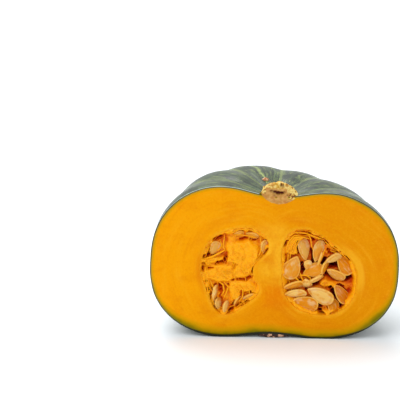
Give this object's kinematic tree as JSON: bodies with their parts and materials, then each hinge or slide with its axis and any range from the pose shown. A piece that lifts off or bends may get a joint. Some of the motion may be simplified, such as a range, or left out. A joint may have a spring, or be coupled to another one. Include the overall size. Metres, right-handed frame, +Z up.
{
  "type": "halved kabocha squash",
  "caption": "Half of a kabocha squash cut down through its stalk: ribbed green rind, thick orange flesh and seed chambers with stringy pulp and flat seeds.",
  "frame": {"origin": "centre of the whole part's box, at its base, on the surface that the half stands on", "axes": "+Z up along the stalk's side, +X along the cut face from the left seed chamber to the right one, and -Y out of the cut face"},
  "size_m": [0.1838, 0.0908, 0.1228],
  "materials": {
    "flesh": "satin",
    "stalk": "matte",
    "pulp": "satin",
    "seed": "satin"
  },
  "bodies": {
    "root": {"fruit": "flesh", "stalk": "stalk", "pulp_left": "pulp", "pulp_right": "pulp", "seeds_left": "seed", "seeds_right": "seed"}
  },
  "joints": []
}
